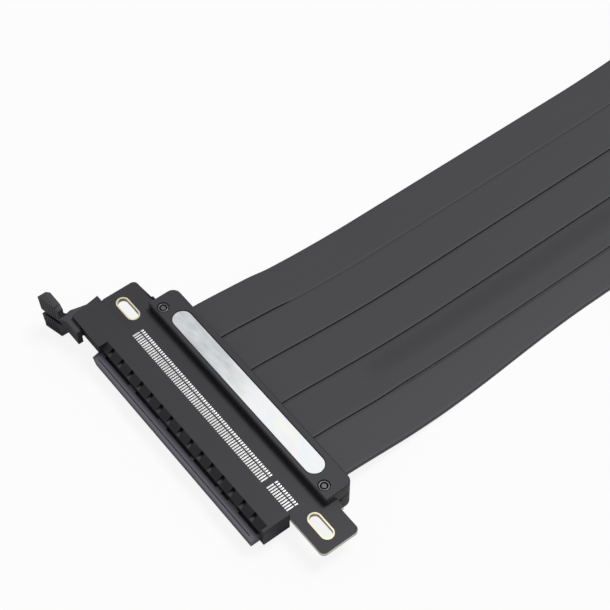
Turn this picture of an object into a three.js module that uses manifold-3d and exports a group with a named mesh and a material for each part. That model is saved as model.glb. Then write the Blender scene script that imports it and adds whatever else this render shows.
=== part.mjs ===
// A flexible riser cable for a graphics card, in millimetres, +Z up.
// A card slot on a small circuit board, five flat cable strips side by side,
// and a board with an edge connector at the far end. X runs along the slot,
// Y from the slot to the far end, and z = 0 in the sizes below is the top of
// the circuit boards; the finished group stands on its own z = 0.
import * as THREE from "three";
import { mergeVertices } from "three/addons/utils/BufferGeometryUtils.js";
import Module from "manifold-3d";

const wasm = await Module();
wasm.setup();

// Clearances
const GAP = 0.3; // between pieces that meet
const FIT = 0.03; // plating and soldered tails against the board
const OVER = 1; // how far a cutter reaches past the face that it cuts

// Circuit boards
const BOARD_THICK = 1.6;
const BOARD_EAR = 8.4; // from the middle of a mounting slot to the board's end
const BOARD_FRONT = -0.9; // edge behind the slot
const BOARD_REAR = 13.5;
const BOARD_CORNER = 1.8;
const STEP_LENGTH = 102.4; // the board's wider strip at the cable clamp
const STEP_REAR = 14.6;
const TONGUE_LENGTH = 91.4; // the board's strip inside the cable clamp
const TONGUE_REAR = 17.2;

// Plated mounting slots of the board
const MOUNT_SPACING = 104;
const MOUNT_Y = 4.95;
const MOUNT_LONG = 10.8;
const MOUNT_WIDE = 4.8;
const MOUNT_RIM = 0.55;

// Card slot
const PITCH = 1; // of the contacts
const LONG_ROW = 71; // contacts on the long side of the key
const SHORT_ROW = 11; // contacts on the short side of the key
const ROW_END = 41.5; // from the middle to the last contact
const KEY_X = 30;
const KEY_WIDTH = 1.9;
const CARD_GAP = 1.9; // width of the slot that the card edge enters
const END_WALL = 2;
const CAVITY_END = 0.9; // from the last contact to the end of the cavity
const HOUSING_THICK = 8;
const HOUSING_FRONT = -11.3;
const HOUSING_REAR = BOARD_FRONT - GAP;
const CAVITY_FLOOR = -2.9; // bottom of the cavity, seen from the card
const CONTACT_ROOM = 1; // recess for the contacts beside the card gap
const LIP = 0.7; // narrow mouth in front of that recess
const NOTCH_COUNT = 15;
const NOTCH_WIDTH = 1.4;
const NOTCH_PITCH = 5.5;
const NOTCH_FIRST = -39.2;
const SLOPE_DEPTH = 2.4; // of the sloped upper lip, from the front edge back
const SLOPE_DROP = 2;
const LEDGE_REACH = 3.4; // how far the lower wall stands out in front
const LEDGE_FALL = 0.5; // how far its top slopes down to the front
const LEDGE_SLANT = 2.2;
const GROOVE_BACK = 0.9; // from the front of the ledge
const GROOVE_WIDE = 0.35;
const GROOVE_DEEP = 0.3;
const TABS = [[-27.6, -24], [-11, -6.5], [6.8, 8.3], [20.5, 23], [26.5, 31.8]];
const TAIL_SLOT = 0.7; // height of the slot that the contact tails leave by

// Contacts
const CONTACT_WIDE = 0.55;
const CONTACT_THICK = 0.22;
const TAIL_END = 2.45;
const CARRIER_FRONT = -5;
const CARRIER_REAR = -4;
const CARRIER_LOW = 0.12;
const CARRIER_HIGH = 0.95;
const CONTACT_TIP = -9.6;
const CONTACT_REACH = -0.12; // how far the contacts reach down into the card gap

// Ears of the housing and the card latch between them
const EAR_END = 16.2; // beyond the end of the housing, at the rear
const EAR_FRONT = 14.4; // the same at the front
const EAR_PROUD = 1.15; // how far the ear stands out in front
const EAR_OVERLAP = 1.4; // its reach over the end of the slot
const EAR_UNDERCUT = 3; // how deep the ear is cut away below its front strip
const EAR_STRIP = 4; // height of that strip
const EAR_WALL = 1.2;
const EAR_INNER = 9; // from the end of the housing to the latch room
const EAR_BACK_WALL = 0.7;
const HINGE_X = -57;
const HINGE_Y = -4.6;
const PIVOT_RADIUS = 1.15;
const PIVOT_LENGTH = 0.6;
const NECK_RADIUS = 2.3;
const NECK_SIDE = [[-5.2, -6.6], [-4, -1.6], [-3.7, 0.4], [-1.2, 1.8]]; // from the pivot, front to rear
const PADDLE_TOP = 6.6;
const PADDLE_BOTTOM = -8.6;
const PADDLE_TIP = -70.2;
const PADDLE_LEAN = 1.4; // how much shorter the grip is at the bottom
const PADDLE_NECK = -61;
const PADDLE_BACK = -13.9;
const PADDLE_SLOPE = 2.3; // how far the grip leans to the card side
const PADDLE_THICK = 4.3;
const PADDLE_SLIT = 1.8;
const SLIT_MOUTH = 2; // length of its wider mouth at the tip
const SLIT_FLARE = 1.4;
const TIP_CORNER = 1.1;
const GRIP_COUNT = 7;
const GRIP_FIRST = 1.2; // from the tip
const GRIP_PITCH = 1;
const GRIP_DEPTH = 0.5;
const NOSE_X = -53;
const NOSE_LONG = 6;
const NOSE_FRONT = -14.6;
const SHOULDER = 1.4; // width of the grip's shoulder
const STEP_COUNT = 3; // small steps on top of the shoulder
const STEP_WIDE = 0.45;
const STEP_HIGH = 0.4;

// Cable clamps
const CLAMP_LENGTH = 95.4;
const CLAMP_FRONT = 10.4;
const CLAMP_REAR = 21.4;
const CLAMP_CORNER = 3;
const CLAMP_TOP = 3.45;
const CLAMP_EDGE = 0.4;
const STAND = 8.8; // from the top of the board to the table
const TRAY_WALL = 1.6;
const END_HOLE = 0.9; // width of the small blind hole in the clamp's end
const END_HOLE_Y = 16.3;
const END_HOLE_Z = -2.9;
const SCREW_INSET = 4.7; // from the clamp's end
const SCREW_Y = 13.25;
const SCREW_HEAD = 1.8; // radius
const SCREW_HEAD_HIGH = 1.1;
const SCREW_SHANK = 0.95; // radius
const SCREW_TIP = -6;
const SCREW_SUNK = 0.15;
const SOCKET_RADIUS = 1.3;
const SOCKET_PIN = 0.9;
const SOCKET_DEEP = 0.6;
const LABEL_LENGTH = 77;
const LABEL_WIDE = 6.8;
const LABEL_Y = 15.55;
const LABEL_THICK = 0.3;
const LABEL_SUNK = 0.12;

// Flat cable
const STRIP_COUNT = 5;
const STRIP_PITCH = 16.5;
const STRIP_SHIFT = 0.6; // the cable's middle beside the slot's middle, towards the key
const STRIP_THICK = 0.8;
const STRIP_Z = -2.6; // middle of the strips where they leave a clamp
const STRIP_INSIDE = 7; // length held in each clamp
const STRIP_STEPS = 16;
const SPAN = 240; // from clamp to clamp
const DROP_POINTS = [[0, 0], [4, -0.2], [10, -0.8], [18, -1.8], [26, -2.8], [34, -3.7], [42, -4.5],
  [50, -5.1], [58, -5.5], [66, -5.75]]; // beyond the clamp, below its exit
const FLAT_POINTS = [80, 100, 120, 140, 160]; // beyond the clamp, on the table

// Far board with its edge connector
const PLUG_LENGTH = 96;
const PLUG_FRONT = 3.4;
const EDGE_REACH = 8.2;
const EDGE_END = 0.65; // from the last contact to the end of the edge
const EDGE_CHAMFER = 0.5;

const boardLength = MOUNT_SPACING + 2 * BOARD_EAR;
const housingTop = HOUSING_THICK / 2 - BOARD_THICK / 2;
const housingBottom = -HOUSING_THICK / 2 - BOARD_THICK / 2;
const cardTop = CARD_GAP / 2 - BOARD_THICK / 2;
const cardBottom = -CARD_GAP / 2 - BOARD_THICK / 2;
const earFront = HOUSING_FRONT - EAR_PROUD;
const housingEnd = ROW_END + CAVITY_END + END_WALL;
const cavityEnd = ROW_END + CAVITY_END;
const clampBottom = -STAND;
const clampHalf = CLAMP_LENGTH / 2;
const screwX = clampHalf - SCREW_INSET;
const stripWide = STRIP_PITCH - GAP;

const finish = (color, roughness, metalness = 0) =>
  new THREE.MeshStandardMaterial({ color, roughness, metalness });
const BLACK_PLASTIC = finish(0x4c4b50, 0.55);
const CLAMP_PLASTIC = finish(0x3a393d, 0.5);
const BLACK_BOARD = finish(0x37363b, 0.45);
const CABLE = finish(0x403f43, 0.75);
const GOLD = finish(0xe6d9a0, 0.35, 0.9);
const TIN = finish(0xd8d8d8, 0.3, 0.9);
const SCREW_BLACK = finish(0x3b3b3f, 0.4, 0.7);
const SILVER_LABEL = finish(0xe4e6ea, 0.3, 0.6);

// Solids

function toSolid(geometry) {
  const bare = geometry.clone();
  bare.deleteAttribute("normal");
  bare.deleteAttribute("uv");
  const merged = mergeVertices(bare, 1e-4);
  return new wasm.Manifold(new wasm.Mesh({
    numProp: 3,
    vertProperties: Float32Array.from(merged.attributes.position.array),
    triVerts: Uint32Array.from(merged.index.array),
  }));
}

function toGeometry(solid) {
  const mesh = solid.getMesh();
  const geometry = new THREE.BufferGeometry();
  geometry.setAttribute("position", new THREE.BufferAttribute(mesh.vertProperties, 3));
  geometry.setIndex(new THREE.BufferAttribute(mesh.triVerts, 1));
  geometry.computeVertexNormals();
  return geometry;
}

const AXES = {
  z: new THREE.Matrix4(),
  x: new THREE.Matrix4().makeBasis(
    new THREE.Vector3(0, 1, 0), new THREE.Vector3(0, 0, 1), new THREE.Vector3(1, 0, 0)),
  y: new THREE.Matrix4().makeBasis(
    new THREE.Vector3(1, 0, 0), new THREE.Vector3(0, 0, 1), new THREE.Vector3(0, -1, 0)),
};

// An outline extruded along an axis, from low to high on that axis.
// Along z its points are (x, y), along x they are (y, z), along y (x, z).
function prism(axis, outline, low, high, edge = 0) {
  const shape = outline instanceof THREE.Shape ? outline
    : new THREE.Shape(outline.map(([a, b]) => new THREE.Vector2(a, b)));
  const geometry = new THREE.ExtrudeGeometry(shape, {
    depth: high - low - 2 * edge,
    curveSegments: 6,
    bevelEnabled: edge > 0,
    bevelThickness: edge,
    bevelSize: edge,
    bevelOffset: -edge,
    bevelSegments: 1,
  });
  geometry.applyMatrix4(AXES[axis]);
  const start = axis === "y" ? -high + edge : low + edge;
  const along = { z: [0, 0, 1], x: [1, 0, 0], y: [0, -1, 0] }[axis];
  geometry.translate(...along.map((v) => v * start));
  return toSolid(geometry);
}

function box([x0, x1], [y0, y1], [z0, z1]) {
  const geometry = new THREE.BoxGeometry(x1 - x0, y1 - y0, z1 - z0);
  geometry.translate((x0 + x1) / 2, (y0 + y1) / 2, (z0 + z1) / 2);
  return toSolid(geometry);
}

function cylinder(x, y, radius, [z0, z1], sides = 16) {
  const geometry = new THREE.CylinderGeometry(radius, radius, z1 - z0, sides);
  geometry.rotateX(Math.PI / 2);
  geometry.translate(x, y, (z0 + z1) / 2);
  return toSolid(geometry);
}

// A rectangle whose front and rear corners have their own radii.
function roundedOutline([x0, x1], [y0, y1], frontRadius, rearRadius) {
  const shape = new THREE.Shape();
  shape.moveTo(x0 + frontRadius, y0);
  shape.lineTo(x1 - frontRadius, y0);
  shape.absarc(x1 - frontRadius, y0 + frontRadius, frontRadius, -Math.PI / 2, 0);
  shape.absarc(x1 - rearRadius, y1 - rearRadius, rearRadius, 0, Math.PI / 2);
  shape.absarc(x0 + rearRadius, y1 - rearRadius, rearRadius, Math.PI / 2, Math.PI);
  shape.absarc(x0 + frontRadius, y0 + frontRadius, frontRadius, Math.PI, Math.PI * 1.5);
  shape.closePath();
  return shape;
}

function stadium(x, y, long, wide) {
  const round = wide / 2;
  return roundedOutline([x - long / 2, x + long / 2], [y - round, y + round], round, round);
}

const union = (solids) => solids.reduce((sum, solid) => sum.add(solid));
const without = (solid, cutters) => cutters.reduce((rest, cutter) => rest.subtract(cutter), solid);

// A solid turned upside down about the middle of the board.
function underside(solid) {
  const geometry = toGeometry(solid);
  geometry.rotateX(Math.PI);
  geometry.scale(1, -1, 1);
  geometry.index.array.reverse();
  geometry.translate(0, 0, -BOARD_THICK);
  return toSolid(geometry);
}

// Slot end

function boardSolid() {
  const half = boardLength / 2;
  const layer = [-BOARD_THICK, 0];
  const body = union([
    prism("z", roundedOutline([-half, half], [BOARD_FRONT, BOARD_REAR], BOARD_CORNER, BOARD_CORNER),
      ...layer),
    box([-STEP_LENGTH / 2, STEP_LENGTH / 2], [MOUNT_Y, STEP_REAR], layer),
    box([-TONGUE_LENGTH / 2, TONGUE_LENGTH / 2], [MOUNT_Y, TONGUE_REAR], layer),
  ]);
  const cut = [-BOARD_THICK - OVER, OVER];
  return without(body, [-1, 1].flatMap((side) => [
    prism("z", stadium(side * MOUNT_SPACING / 2, MOUNT_Y, MOUNT_LONG, MOUNT_WIDE), ...cut),
    cylinder(side * screwX, SCREW_Y, SCREW_SHANK + GAP, cut),
  ]));
}

function mountRim(side) {
  const x = side * MOUNT_SPACING / 2;
  const outer = stadium(x, MOUNT_Y, MOUNT_LONG - 2 * FIT, MOUNT_WIDE - 2 * FIT);
  const inner = stadium(x, MOUNT_Y, MOUNT_LONG - 2 * MOUNT_RIM, MOUNT_WIDE - 2 * MOUNT_RIM);
  return prism("z", outer, -BOARD_THICK - FIT, FIT)
    .subtract(prism("z", inner, -BOARD_THICK - OVER, OVER));
}

function earOutline() {
  return [[-housingEnd, HOUSING_REAR], [-housingEnd - EAR_END, HOUSING_REAR],
    [-housingEnd - EAR_FRONT, earFront], [-housingEnd, earFront]];
}

// The two lengths of the card cavity, each side of the key.
const cavitySpans = [[-cavityEnd, KEY_X - KEY_WIDTH / 2], [KEY_X + KEY_WIDTH / 2, cavityEnd]];

function slopeNotches() {
  return Array.from({ length: NOTCH_COUNT }, (_, i) => {
    const middle = NOTCH_FIRST + i * NOTCH_PITCH;
    return box([middle - NOTCH_WIDTH / 2, middle + NOTCH_WIDTH / 2],
      [HOUSING_FRONT - OVER, HOUSING_FRONT + SLOPE_DEPTH],
      [housingTop - SLOPE_DROP, housingTop + OVER]);
  });
}

function lipNotches() {
  const edges = [-cavityEnd + 1, ...TABS.flat(), cavityEnd - 1];
  const notches = [];
  for (let i = 0; i < edges.length; i += 2) {
    notches.push(box([edges[i], edges[i + 1]], [HOUSING_FRONT - OVER / 2, HOUSING_FRONT + LIP],
      [cardBottom - CONTACT_ROOM, cardBottom + OVER / 2]));
  }
  return notches;
}

function housingSolid() {
  const ledgeFront = HOUSING_FRONT - LEDGE_REACH;
  const ledge = prism("x", [[HOUSING_FRONT + LIP, housingBottom], [ledgeFront, housingBottom],
    [ledgeFront, cardBottom - LEDGE_FALL], [HOUSING_FRONT, cardBottom],
    [HOUSING_FRONT + LIP, cardBottom]], -cavityEnd - LEDGE_SLANT, cavityEnd);
  const slant = prism("y", [[-cavityEnd - LEDGE_SLANT - OVER, housingBottom - OVER],
    [-cavityEnd, housingBottom - OVER], [-cavityEnd, housingBottom],
    [-cavityEnd - LEDGE_SLANT, cardBottom], [-cavityEnd - LEDGE_SLANT - OVER, cardBottom]],
  ledgeFront - OVER, HOUSING_FRONT - 2 * FIT);
  const groove = box([-cavityEnd, cavityEnd - END_WALL],
    [ledgeFront + GROOVE_BACK, ledgeFront + GROOVE_BACK + GROOVE_WIDE],
    [cardBottom - LEDGE_FALL - GROOVE_DEEP, cardBottom + OVER]);
  const undercut = box([-housingEnd - EAR_END - OVER, -housingEnd + OVER],
    [earFront - OVER, HOUSING_FRONT + EAR_UNDERCUT], [housingBottom - OVER, housingTop - EAR_STRIP]);
  const brow = box([-housingEnd - OVER, -housingEnd + EAR_OVERLAP],
    [earFront, HOUSING_FRONT + EAR_UNDERCUT], [housingTop - EAR_STRIP, housingTop]);
  const body = union([
    box([-housingEnd, housingEnd], [HOUSING_FRONT, HOUSING_REAR], [housingBottom, housingTop]),
    prism("z", earOutline(), housingBottom, housingTop).subtract(undercut),
    brow,
    without(ledge, [slant, groove]),
  ]);
  const slope = prism("x", [[HOUSING_FRONT + SLOPE_DEPTH, housingTop],
    [HOUSING_FRONT, housingTop - SLOPE_DROP], [HOUSING_FRONT - OVER, housingTop - SLOPE_DROP],
    [HOUSING_FRONT - OVER, housingTop + OVER], [HOUSING_FRONT + SLOPE_DEPTH, housingTop + OVER]],
  -housingEnd + EAR_OVERLAP, housingEnd - END_WALL / 2);
  const cavities = cavitySpans.flatMap((span) => [
    box(span, [HOUSING_FRONT - OVER, CAVITY_FLOOR], [cardBottom, cardTop]),
    box(span, [HOUSING_FRONT + LIP, CAVITY_FLOOR],
      [cardBottom - CONTACT_ROOM, cardTop + CONTACT_ROOM]),
    box(span, [CAVITY_FLOOR - OVER, HOUSING_REAR + OVER], [0, TAIL_SLOT]),
    box(span, [CAVITY_FLOOR - OVER, HOUSING_REAR + OVER],
      [-BOARD_THICK - TAIL_SLOT, -BOARD_THICK]),
  ]);
  const latchRoom = box([-housingEnd - EAR_END - OVER, -housingEnd - EAR_INNER],
    [earFront - OVER, HOUSING_REAR - EAR_BACK_WALL],
    [housingBottom + EAR_WALL, housingTop - EAR_WALL]);
  const pivotHole = cylinder(HINGE_X, HINGE_Y, PIVOT_RADIUS + GAP,
    [housingBottom + EAR_WALL - PIVOT_LENGTH, housingTop - EAR_WALL + PIVOT_LENGTH]);
  return without(body, [slope, ...slopeNotches(), ...lipNotches(), ...cavities,
    latchRoom, pivotHole]);
}

function contactRow(count, first) {
  const tail = [[TAIL_END, FIT], [TAIL_END, FIT + CONTACT_THICK],
    [CARRIER_REAR + FIT, FIT + CONTACT_THICK], [CONTACT_TIP, CONTACT_REACH + CONTACT_THICK],
    [CONTACT_TIP, CONTACT_REACH], [CARRIER_REAR + FIT, FIT]];
  const contacts = Array.from({ length: count }, (_, i) => {
    const x = first + i * PITCH;
    return prism("x", tail, x - CONTACT_WIDE / 2, x + CONTACT_WIDE / 2);
  });
  const last = first + (count - 1) * PITCH;
  return union([box([first - CONTACT_WIDE, last + CONTACT_WIDE], [CARRIER_FRONT, CARRIER_REAR],
    [CARRIER_LOW, CARRIER_HIGH]), ...contacts]);
}

function latchSolid() {
  const inner = [housingBottom + EAR_WALL + GAP, housingTop - EAR_WALL - GAP];
  const tipFront = PADDLE_BACK - PADDLE_THICK;
  const neckFront = tipFront + PADDLE_SLOPE;
  const headBack = earFront - GAP;
  const foot = PADDLE_NECK - SHOULDER / 2;
  const sideOutline = [[NOSE_X, headBack], [foot + GAP, headBack], [foot, PADDLE_BACK],
    [PADDLE_TIP + TIP_CORNER, PADDLE_BACK], [PADDLE_TIP, PADDLE_BACK - TIP_CORNER],
    [PADDLE_TIP, tipFront], [PADDLE_NECK, neckFront], [NOSE_X - NOSE_LONG, NOSE_FRONT],
    [NOSE_X, NOSE_FRONT]];
  const middle = -BOARD_THICK / 2;
  const slit = PADDLE_SLIT / 2;
  const steps = Array.from({ length: STEP_COUNT }, (_, i) => {
    const z = PADDLE_TOP - (STEP_COUNT - i) * STEP_HIGH;
    return [[foot - i * STEP_WIDE, z], [foot - (i + 1) * STEP_WIDE, z]];
  }).flat();
  const tipMiddle = PADDLE_TIP + PADDLE_LEAN / 2;
  const frontOutline = [[NOSE_X + OVER, housingBottom], [NOSE_X + OVER, inner[1]],
    [PADDLE_NECK - SHOULDER / 4, inner[1]], [foot, inner[1] + SHOULDER],
    ...steps, [foot - STEP_COUNT * STEP_WIDE, PADDLE_TOP], [PADDLE_TIP, PADDLE_TOP],
    [tipMiddle, middle + SLIT_FLARE * slit], [PADDLE_TIP + SLIT_MOUTH, middle + slit],
    [PADDLE_NECK - slit / 2, middle + slit], [PADDLE_NECK, middle],
    [PADDLE_NECK - slit / 2, middle - slit], [PADDLE_TIP + SLIT_MOUTH, middle - slit],
    [tipMiddle, middle - SLIT_FLARE * slit], [PADDLE_TIP + PADDLE_LEAN, PADDLE_BOTTOM],
    [foot, PADDLE_BOTTOM],
    [PADDLE_NECK + SHOULDER, housingBottom]];
  const head = prism("z", sideOutline, PADDLE_BOTTOM, PADDLE_TOP)
    .intersect(prism("y", frontOutline, tipFront - OVER, headBack + OVER));
  const neck = prism("z", [[HINGE_X + NECK_RADIUS, HINGE_Y], [NOSE_X - 1, headBack - OVER],
    [foot, headBack - OVER], ...NECK_SIDE.map(([x, y]) => [HINGE_X + x, HINGE_Y + y])], ...inner);
  const pivot = cylinder(HINGE_X, HINGE_Y, PIVOT_RADIUS,
    [inner[0] - PIVOT_LENGTH, inner[1] + PIVOT_LENGTH]);
  const grips = Array.from({ length: GRIP_COUNT }, (_, i) => {
    const x = PADDLE_TIP + GRIP_FIRST + i * GRIP_PITCH;
    const y = tipFront + PADDLE_SLOPE * (x - PADDLE_TIP) / (PADDLE_NECK - PADDLE_TIP);
    return prism("z", [[x - GRIP_PITCH / 4, y - OVER], [x + GRIP_PITCH / 4, y - OVER],
      [x, y + GRIP_DEPTH]], PADDLE_BOTTOM - OVER, PADDLE_TOP + OVER);
  });
  return without(union([head, neck, cylinder(HINGE_X, HINGE_Y, NECK_RADIUS, inner), pivot]), grips);
}

// Cable clamp, the same at both ends

const clampPlan = () => roundedOutline([-clampHalf, clampHalf], [CLAMP_FRONT, CLAMP_REAR],
  CLAMP_EDGE * 1.5, CLAMP_CORNER);

function clampTop(withLabel) {
  const boardRoom = [clampBottom, GAP];
  const skirt = prism("z", clampPlan(), STRIP_Z + STRIP_THICK / 2 + GAP, CLAMP_TOP, CLAMP_EDGE);
  const tongue = TONGUE_LENGTH / 2 + GAP;
  const cutters = [
    box([-clampHalf - OVER, clampHalf + OVER], [CLAMP_FRONT - OVER, STEP_REAR + GAP], boardRoom),
    box([-tongue, tongue], [CLAMP_FRONT, TONGUE_REAR + GAP], boardRoom),
    ...[-1, 1].flatMap((side) => [
      cylinder(side * screwX, SCREW_Y, SCREW_SHANK + GAP, [clampBottom, CLAMP_TOP + OVER]),
      cylinder(side * screwX, SCREW_Y, SCREW_HEAD + GAP,
        [CLAMP_TOP - SCREW_SUNK - SCREW_HEAD_HIGH - GAP, CLAMP_TOP + OVER]),
    ]),
  ];
  if (withLabel) {
    cutters.push(prism("z", stadium(0, LABEL_Y, LABEL_LENGTH + 2 * GAP, LABEL_WIDE + 2 * GAP),
      CLAMP_TOP - LABEL_SUNK - LABEL_THICK - FIT, CLAMP_TOP + OVER));
  }
  return without(skirt, cutters);
}

function clampBase() {
  const top = -BOARD_THICK - GAP;
  const channel = STRIP_COUNT * STRIP_PITCH / 2 + STRIP_SHIFT + GAP;
  const body = prism("z", clampPlan(), clampBottom, top, CLAMP_EDGE);
  return without(body, [
    box([-channel, channel], [CLAMP_FRONT + TRAY_WALL, CLAMP_REAR + OVER],
      [STRIP_Z - STRIP_THICK / 2 - GAP, top + OVER]),
    box([-channel + TRAY_WALL, channel - TRAY_WALL],
      [CLAMP_FRONT + TRAY_WALL, CLAMP_REAR - TRAY_WALL], [clampBottom + TRAY_WALL, top + OVER]),
    box([clampHalf - END_HOLE, clampHalf + OVER], [END_HOLE_Y - END_HOLE / 2, END_HOLE_Y + END_HOLE / 2],
      [END_HOLE_Z - END_HOLE / 2, END_HOLE_Z + END_HOLE / 2]),
    ...[-1, 1].map((side) =>
      cylinder(side * screwX, SCREW_Y, SCREW_SHANK + GAP, [SCREW_TIP - GAP, top + OVER])),
  ]);
}

function screwGeometry(side) {
  const top = CLAMP_TOP - SCREW_SUNK;
  const profile = [[0, SCREW_TIP], [SCREW_SHANK, SCREW_TIP + SCREW_SHANK],
    [SCREW_SHANK, top - SCREW_HEAD_HIGH], [SCREW_HEAD, top - SCREW_HEAD_HIGH],
    [SCREW_HEAD, top], [SOCKET_RADIUS, top], [SOCKET_RADIUS, top - SOCKET_DEEP],
    [SOCKET_PIN, top - SOCKET_DEEP], [SOCKET_PIN, top - 0.15], [0, top - 0.1]];
  const geometry = new THREE.LatheGeometry(profile.map(([r, z]) => new THREE.Vector2(r, z)), 16);
  geometry.rotateX(Math.PI / 2);
  geometry.translate(side * screwX, SCREW_Y, 0);
  return toGeometry(toSolid(geometry));
}

// Far board: in its own place it is turned half round, so the key side is mirrored.
function plugSolid() {
  const half = PLUG_LENGTH / 2;
  const layer = [-BOARD_THICK, 0];
  const edgeFront = PLUG_FRONT - EDGE_REACH;
  const edgeEnd = ROW_END + EDGE_END;
  const body = union([
    prism("z", roundedOutline([-half, half], [PLUG_FRONT, STEP_REAR], BOARD_CORNER, BOARD_CORNER),
      ...layer),
    box([-TONGUE_LENGTH / 2, TONGUE_LENGTH / 2], [STEP_REAR - OVER, TONGUE_REAR], layer),
    prism("x", [[PLUG_FRONT + OVER, 0], [edgeFront + EDGE_CHAMFER, 0], [edgeFront, -EDGE_CHAMFER],
      [edgeFront, -BOARD_THICK + EDGE_CHAMFER], [edgeFront + EDGE_CHAMFER, -BOARD_THICK],
      [PLUG_FRONT + OVER, -BOARD_THICK]], -edgeEnd, edgeEnd),
  ]);
  const cut = [-BOARD_THICK - OVER, OVER];
  return without(body, [
    box([-KEY_X - KEY_WIDTH / 2, -KEY_X + KEY_WIDTH / 2], [edgeFront - OVER, PLUG_FRONT], cut),
    ...[-1, 1].map((side) => cylinder(side * screwX, SCREW_Y, SCREW_SHANK + GAP, cut)),
  ]);
}

// Flat cable

function stripCurve() {
  const low = STRIP_THICK / 2 - STAND; // middle of a strip that lies on the table
  const near = [[-STRIP_INSIDE, 0], ...DROP_POINTS];
  const far = near.map(([y, z]) => [SPAN - y, z]).reverse();
  const points = [
    ...near.map(([y, z]) => [y, Math.max(STRIP_Z + z, low)]),
    ...FLAT_POINTS.map((y) => [y, low]),
    ...far.map(([y, z]) => [y, Math.max(STRIP_Z + z, low)]),
  ];
  return new THREE.CatmullRomCurve3(
    points.map(([y, z]) => new THREE.Vector3(0, CLAMP_REAR + y, z)), false, "centripetal");
}

function stripGeometry(index) {
  const flat = STRIP_THICK / 2;
  const side = stripWide / 2;
  // The section's first axis comes out across the strip, its second along the thickness.
  const section = new THREE.Shape([[side - flat, -flat], [side, -flat / 2], [side, flat / 2],
    [side - flat, flat], [-side + flat, flat], [-side, flat / 2], [-side, -flat / 2],
    [-side + flat, -flat]].map(([a, b]) => new THREE.Vector2(a, b)));
  const geometry = new THREE.ExtrudeGeometry(section, {
    steps: STRIP_STEPS, extrudePath: stripCurve(), bevelEnabled: false,
  });
  geometry.translate(STRIP_SHIFT + (index - (STRIP_COUNT - 1) / 2) * STRIP_PITCH, 0, 0);
  return geometry;
}

// Assembly

const riser = new THREE.Group();
const slotEnd = new THREE.Group();
const cable = new THREE.Group();
const farEnd = new THREE.Group();

function place(parent, name, shape, material) {
  const geometry = shape instanceof THREE.BufferGeometry ? shape : toGeometry(shape);
  const mesh = new THREE.Mesh(geometry, material);
  mesh.name = name;
  parent.add(mesh);
}

const longFirst = -ROW_END;
const shortFirst = ROW_END - (SHORT_ROW - 1) * PITCH;
const longRow = contactRow(LONG_ROW, longFirst);
const shortRow = contactRow(SHORT_ROW, shortFirst);
place(slotEnd, "slot_board", boardSolid(), BLACK_BOARD);
place(slotEnd, "mount_rim_latch_side", mountRim(-1), GOLD);
place(slotEnd, "mount_rim_key_side", mountRim(1), GOLD);
place(slotEnd, "slot_housing", housingSolid(), BLACK_PLASTIC);
place(slotEnd, "card_latch", latchSolid(), BLACK_PLASTIC);
place(slotEnd, "upper_contacts_long", longRow, TIN);
place(slotEnd, "upper_contacts_short", shortRow, TIN);
place(slotEnd, "lower_contacts_long", underside(longRow), TIN);
place(slotEnd, "lower_contacts_short", underside(shortRow), TIN);
place(slotEnd, "clamp_top_cover", clampTop(true), CLAMP_PLASTIC);
place(slotEnd, "clamp_bottom_cover", clampBase(), CLAMP_PLASTIC);
place(slotEnd, "clamp_label", prism("z", stadium(0, LABEL_Y, LABEL_LENGTH, LABEL_WIDE),
  CLAMP_TOP - LABEL_SUNK - LABEL_THICK, CLAMP_TOP - LABEL_SUNK), SILVER_LABEL);
place(slotEnd, "clamp_screw_latch_side", screwGeometry(-1), SCREW_BLACK);
place(slotEnd, "clamp_screw_key_side", screwGeometry(1), SCREW_BLACK);

for (let i = 0; i < STRIP_COUNT; i += 1) {
  place(cable, `cable_strip_${i + 1}`, stripGeometry(i), CABLE);
}

place(farEnd, "plug_board", plugSolid(), BLACK_BOARD);
place(farEnd, "plug_top_cover", clampTop(false), CLAMP_PLASTIC);
place(farEnd, "plug_bottom_cover", clampBase(), CLAMP_PLASTIC);
place(farEnd, "plug_screw_left", screwGeometry(-1), SCREW_BLACK);
place(farEnd, "plug_screw_right", screwGeometry(1), SCREW_BLACK);
farEnd.rotation.z = Math.PI;
farEnd.position.y = 2 * CLAMP_REAR + SPAN;

// The origin is under the middle of the slot end, on the table.
riser.add(slotEnd, cable, farEnd);
riser.updateMatrixWorld(true);
const reach = new THREE.Box3().setFromObject(slotEnd, true);
const middle = reach.getCenter(new THREE.Vector3());
riser.position.set(-middle.x, -middle.y, STAND);

export default riser;
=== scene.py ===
"""The looks of a flexible riser cable for a graphics card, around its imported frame.

Sizes are in metres. X runs along the card slot, Y from the slot to the far end, and the
part lies on z = 0.
"""
import logging
import math
from dataclasses import dataclass, field
from enum import Enum
from typing import Callable, Sequence

import bpy
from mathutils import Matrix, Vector


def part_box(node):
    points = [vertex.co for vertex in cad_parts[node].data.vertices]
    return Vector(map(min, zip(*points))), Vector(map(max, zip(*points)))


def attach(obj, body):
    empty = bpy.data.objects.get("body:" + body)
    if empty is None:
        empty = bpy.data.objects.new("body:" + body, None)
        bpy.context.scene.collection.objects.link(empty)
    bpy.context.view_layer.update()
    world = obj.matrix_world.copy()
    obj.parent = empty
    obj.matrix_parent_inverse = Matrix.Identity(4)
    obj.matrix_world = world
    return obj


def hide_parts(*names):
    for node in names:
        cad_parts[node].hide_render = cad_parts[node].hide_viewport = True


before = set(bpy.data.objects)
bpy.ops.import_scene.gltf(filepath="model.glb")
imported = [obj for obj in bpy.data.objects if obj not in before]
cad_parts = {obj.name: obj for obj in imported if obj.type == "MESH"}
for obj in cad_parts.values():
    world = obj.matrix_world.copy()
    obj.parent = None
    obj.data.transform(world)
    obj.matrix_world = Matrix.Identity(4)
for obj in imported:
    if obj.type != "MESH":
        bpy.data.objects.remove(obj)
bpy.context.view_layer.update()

LOG = logging.getLogger("riser_cable")
MM = 0.001
SLOT_LINE = 0.9 * MM  # from the board's front edge to the slot's line
Point = tuple[float, float, float]
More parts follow.
